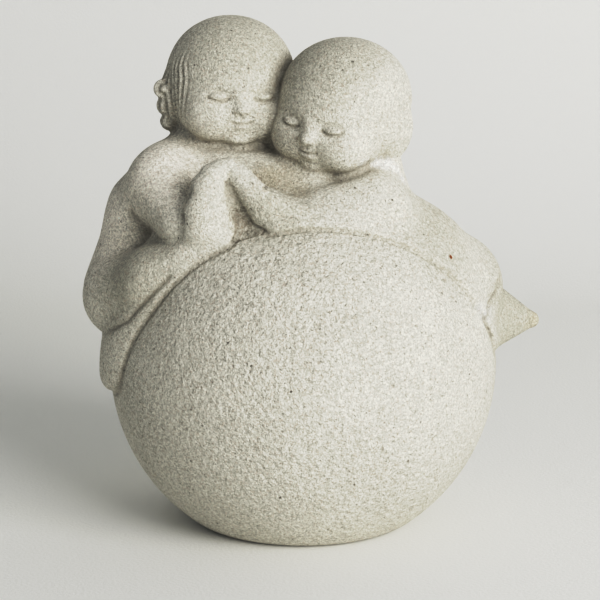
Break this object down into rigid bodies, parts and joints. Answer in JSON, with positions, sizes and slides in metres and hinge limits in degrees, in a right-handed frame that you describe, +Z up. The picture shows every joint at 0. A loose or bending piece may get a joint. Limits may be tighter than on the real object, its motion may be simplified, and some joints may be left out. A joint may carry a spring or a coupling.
{
  "type": "hugging children statue",
  "caption": "Small cast-stone statue of toddlers who hug and hold hands while lying over a large ball with a flat round underside.",
  "frame": {"origin": "centre of the flat round underside of the ball, on the surface that the statue stands on", "axes": "+Z up, -Y towards the front where the faces and the clasped hands are, +X towards the child that lies on its front"},
  "size_m": [0.1446, 0.12, 0.1562],
  "materials": {
    "cast_stone": "rough matt cast stone with fine dark grains"
  },
  "bodies": {
    "root": {"hugging_children_on_ball": "cast_stone"}
  },
  "joints": []
}
